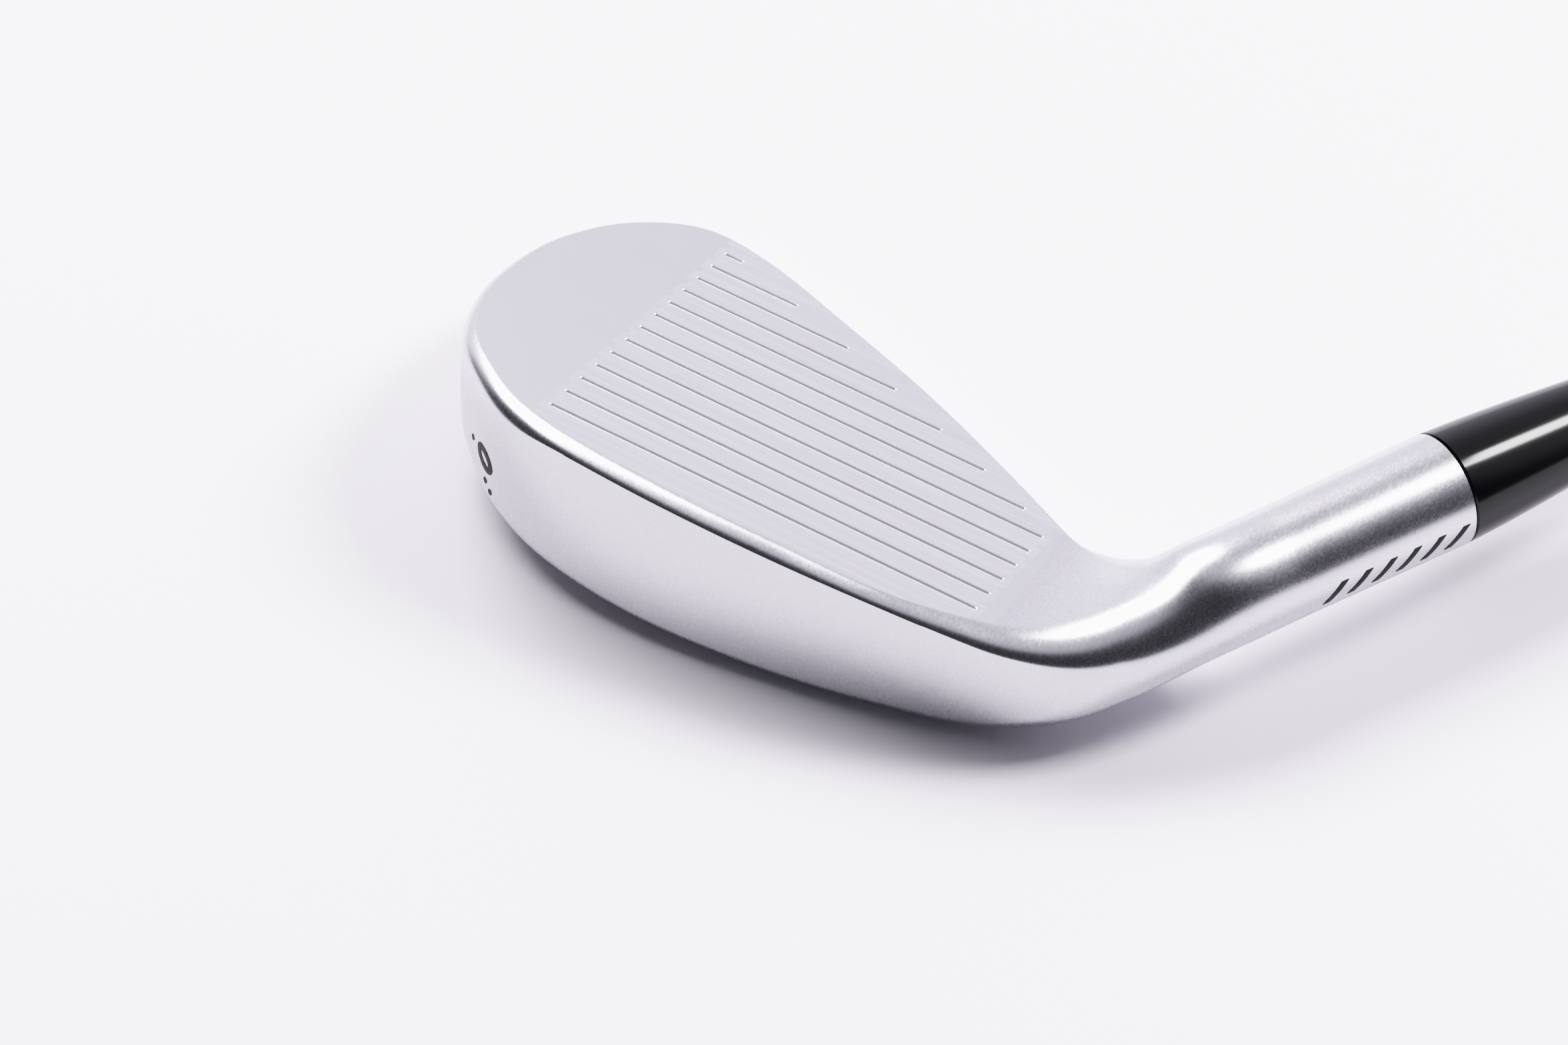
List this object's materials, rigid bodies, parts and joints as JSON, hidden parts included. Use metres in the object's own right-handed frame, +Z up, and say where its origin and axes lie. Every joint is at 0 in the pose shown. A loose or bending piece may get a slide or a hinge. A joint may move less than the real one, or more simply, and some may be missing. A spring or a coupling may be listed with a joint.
{
  "type": "golf iron",
  "caption": "Right-handed long iron golf club with a forged cavity-back head, ferrule, stepped steel shaft and rubber grip.",
  "frame": {"origin": "on the table under the middle of the lying club's box", "axes": "+Z up from the table with the striking face up, +X along the shaft from the head to the butt of the grip, +Y from the shaft towards the toe"},
  "size_m": [1.0174, 0.1018, 0.0268],
  "materials": {
    "head_steel": "satin forged steel, blasted and milled on the face",
    "ferrule_plastic": "polished black",
    "bond": "cured epoxy",
    "weight_brass": "turned",
    "shaft_steel": "bright plated",
    "label_film": "plain film",
    "tape": "paper tape",
    "grip_rubber": "matte moulded rubber",
    "cap_rubber": "matte moulded rubber"
  },
  "bodies": {
    "root": {"head": "head_steel", "ferrule": "ferrule_plastic", "hosel_bond": "bond", "tip_weight": "weight_brass", "shaft": "shaft_steel", "shaft_label": "label_film", "grip_tape": "tape", "grip": "grip_rubber", "grip_cap": "cap_rubber"}
  },
  "joints": []
}
